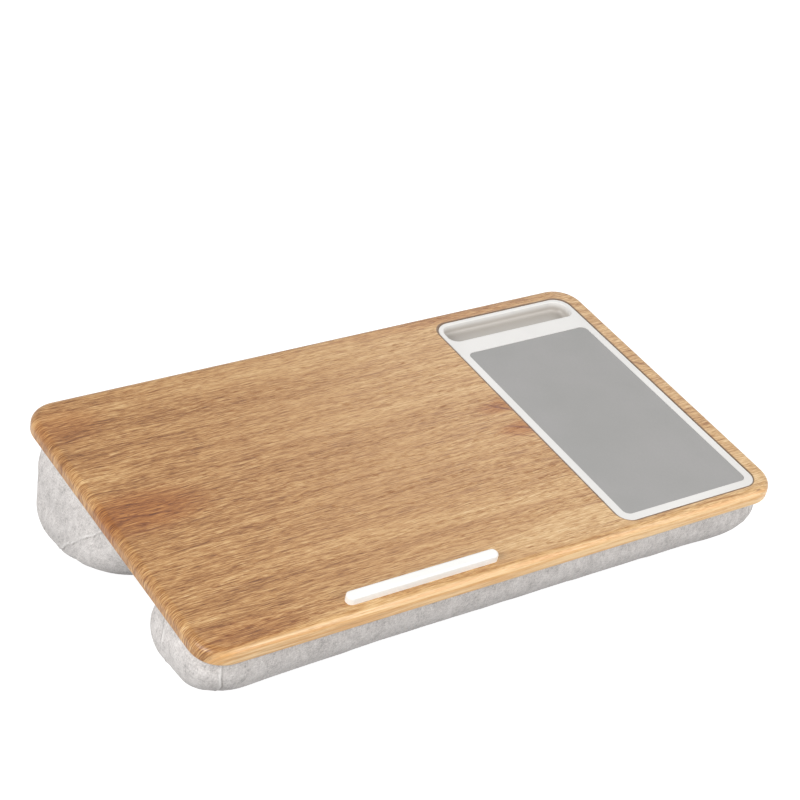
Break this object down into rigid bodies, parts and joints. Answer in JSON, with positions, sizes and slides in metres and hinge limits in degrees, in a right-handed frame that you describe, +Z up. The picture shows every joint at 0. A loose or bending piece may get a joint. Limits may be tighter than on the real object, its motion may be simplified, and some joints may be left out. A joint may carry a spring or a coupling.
{
  "type": "cushioned lap desk",
  "caption": "Tilted woodgrain lap desk on dual fabric bolster cushions, with a stop ledge and an inset white mouse tray with a phone trough.",
  "frame": {"origin": "middle of the footprint, on the surface that the two bolsters stand on", "axes": "+X to the user's right along the board, +Y away from the user, +Z up; the board's face slopes up towards +Y by 12 degrees"},
  "size_m": [0.536, 0.3088, 0.1227],
  "materials": {
    "woodgrain": "satin oak woodgrain film",
    "fibreboard": "raw fibreboard",
    "backing": "plain balancing sheet",
    "hardboard": "raw hardboard",
    "white_plastic": "fine satin moulded white",
    "pad_grey": "smooth matt grey",
    "steel": "zinc plated",
    "cover_fabric": "mottled heather light grey weave",
    "bead_fill": "polystyrene beads"
  },
  "bodies": {
    "root": {"board_core": "fibreboard", "woodgrain_film": "woodgrain", "backing_sheet": "backing", "mouse_pad_tray": "white_plastic", "mouse_pad": "pad_grey", "tray_screws": "steel", "device_ledge": "white_plastic", "ledge_screws": "steel", "base_panel_screws": "steel", "front_base_panel": "hardboard", "front_bead_fill": "bead_fill", "front_wrap_cover": "cover_fabric", "front_left_gusset": "cover_fabric", "front_right_gusset": "cover_fabric", "front_staples": "steel", "back_base_panel": "hardboard", "back_bead_fill": "bead_fill", "back_wrap_cover": "cover_fabric", "back_left_gusset": "cover_fabric", "back_right_gusset": "cover_fabric", "back_staples": "steel"}
  },
  "joints": []
}
